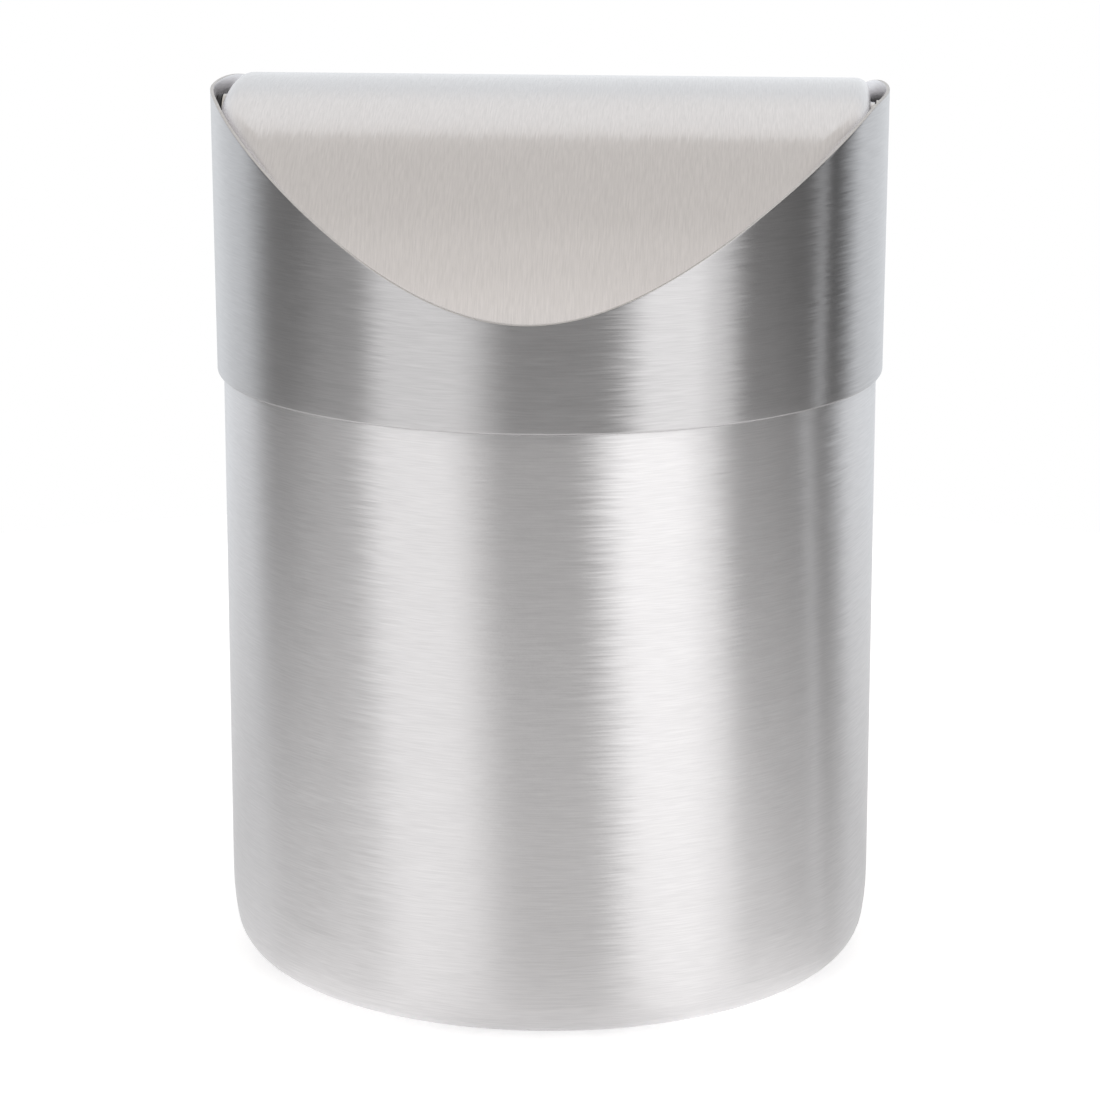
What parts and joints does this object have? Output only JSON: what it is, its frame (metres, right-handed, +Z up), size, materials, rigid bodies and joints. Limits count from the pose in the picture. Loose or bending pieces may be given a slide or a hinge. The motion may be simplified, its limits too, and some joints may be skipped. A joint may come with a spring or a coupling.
{
  "type": "countertop trash can",
  "caption": "Round brushed-steel countertop trash can with a lift-off saddle-cut collar and an arched lid that swings freely on side pivots.",
  "frame": {"origin": "centre of the can's base, on the surface that it stands on", "axes": "+Z up along the can's axis, +X along the lid's pivots towards the right ear, -Y towards the front"},
  "size_m": [0.124, 0.1236, 0.165],
  "materials": {
    "can_steel": "brushed around the can",
    "collar_steel": "brushed around the collar",
    "flap_steel": "brushed front to back",
    "inner_steel": "satin mill finish",
    "hardware_steel": "plain bright",
    "black_plastic": "moulded matt"
  },
  "bodies": {
    "can": {"bin_body": "can_steel"},
    "lid_collar": {"collar": "collar_steel", "seat_ring": "inner_steel", "pivot_pin_left": "hardware_steel", "pivot_pin_right": "hardware_steel", "pivot_bush_left": "black_plastic", "pivot_bush_right": "black_plastic", "thrust_washer_left": "hardware_steel", "thrust_washer_right": "hardware_steel", "push_nut_left": "hardware_steel", "push_nut_right": "hardware_steel"},
    "swing_flap": {"flap": "flap_steel"}
  },
  "joints": [
    {"name": "collar_lift", "type": "slide", "parent": "can", "child": "lid_collar", "axis": [0, 0, 1], "range_m": [0, 0.07]},
    {"name": "flap_swing", "type": "hinge", "parent": "lid_collar", "child": "swing_flap", "pos_m": [0, 0, 0.158], "axis": [1, 0, 0], "range_deg": [-120, 120]}
  ]
}
